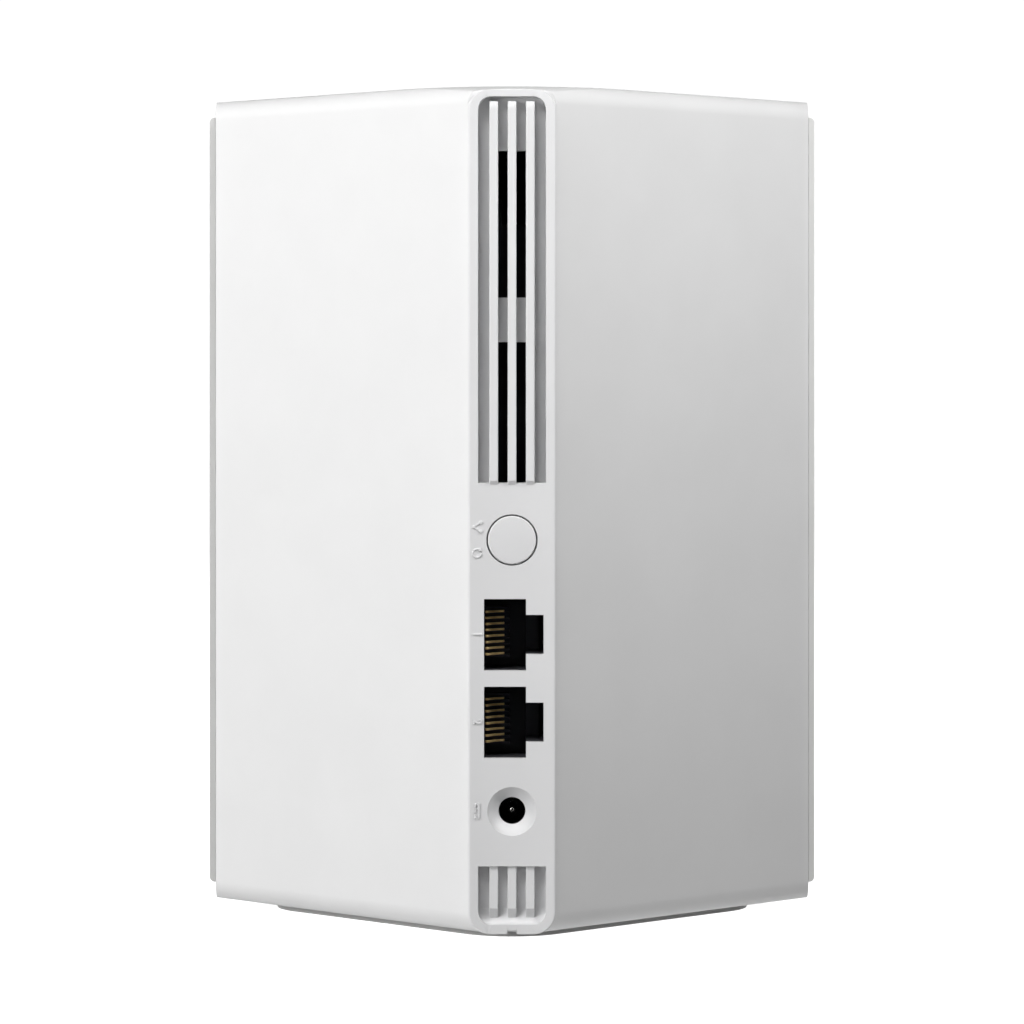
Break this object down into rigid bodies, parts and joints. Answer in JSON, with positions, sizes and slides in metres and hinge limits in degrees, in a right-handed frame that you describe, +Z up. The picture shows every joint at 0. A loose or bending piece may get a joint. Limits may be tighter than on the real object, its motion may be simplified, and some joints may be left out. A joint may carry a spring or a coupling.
{
  "type": "wireless router",
  "caption": "Free-standing mesh router tower on a diamond footprint, with a rear corner strip that holds vents, a reset button, network sockets and a power socket.",
  "frame": {"origin": "middle of the footprint, on the surface that the router stands on", "axes": "+Z up along the tower; -Y is the side with the socket strip; +X is to the right for someone who looks at the sockets"},
  "size_m": [0.108, 0.1084, 0.1447],
  "materials": {
    "shell_white": "fine matte moulded white",
    "strip_white": "smooth satin moulded white",
    "trim_grey": "satin pale warm grey",
    "pad_rubber": "matte light grey",
    "frame_plastic": "matte dark grey",
    "socket_black": "satin black",
    "contact_gold": "gold plated",
    "steel": "zinc plated",
    "aluminium": "plain extruded",
    "laminate": "green solder mask",
    "chip_resin": "moulded resin",
    "thermal_gel": "soft gel sheet",
    "cable_skin": "smooth jacket",
    "clear_plastic": "polished clear"
  },
  "bodies": {
    "housing": {"antenna_1": "laminate", "antenna_2": "laminate", "antenna_3": "laminate", "antenna_4": "laminate", "antenna_cable_1": "cable_skin", "antenna_cable_2": "cable_skin", "antenna_cable_3": "cable_skin", "antenna_cable_4": "cable_skin", "base_cover": "frame_plastic", "base_screw_1": "steel", "base_screw_2": "steel", "base_screw_3": "steel", "base_screw_4": "steel", "board_screw_1": "steel", "board_screw_2": "steel", "board_screw_3": "steel", "board_screw_4": "steel", "dc_jack_body": "socket_black", "dc_jack_pin": "steel", "dc_jack_spring": "steel", "ethernet_jack_1": "socket_black", "ethernet_jack_2": "socket_black", "flash_chip": "chip_resin", "foot_pad": "pad_rubber", "front_shell": "shell_white", "front_trim_strip": "strip_white", "heat_sink": "aluminium", "inner_chassis": "frame_plastic", "lan_transformer_1": "chip_resin", "lan_transformer_2": "chip_resin", "light_pipe": "clear_plastic", "main_board": "laminate", "memory_chip": "chip_resin", "port_1_contact_1": "contact_gold", "port_1_contact_2": "contact_gold", "port_1_contact_3": "contact_gold", "port_1_contact_4": "contact_gold", "port_1_contact_5": "contact_gold", "port_1_contact_6": "contact_gold", "port_1_contact_7": "contact_gold", "port_1_contact_8": "contact_gold", "port_2_contact_1": "contact_gold", "port_2_contact_2": "contact_gold", "port_2_contact_3": "contact_gold", "port_2_contact_4": "contact_gold", "port_2_contact_5": "contact_gold", "port_2_contact_6": "contact_gold", "port_2_contact_7": "contact_gold", "port_2_contact_8": "contact_gold", "processor_chip": "chip_resin", "rear_io_panel": "strip_white", "rear_shell": "shell_white", "reset_switch_body": "socket_black", "shield_can": "steel", "side_bar_left": "trim_grey", "side_bar_right": "trim_grey", "status_led": "clear_plastic", "thermal_pad": "thermal_gel"},
    "button": {"reset_button": "strip_white"},
    "switch_plunger": {"reset_switch_plunger": "frame_plastic"}
  },
  "joints": [
    {"name": "reset_button_press", "type": "slide", "parent": "housing", "child": "button", "axis": [0, 1, 0], "range_m": [0, 0.0005], "stiffness_N_per_m": 1500},
    {"name": "switch_plunger_press", "type": "slide", "parent": "housing", "child": "switch_plunger", "axis": [0, 1, 0], "range_m": [0, 0.0005]}
  ],
  "couplings": [
    {"joint": "switch_plunger_press", "follows": "reset_button_press", "ratio": 1}
  ]
}
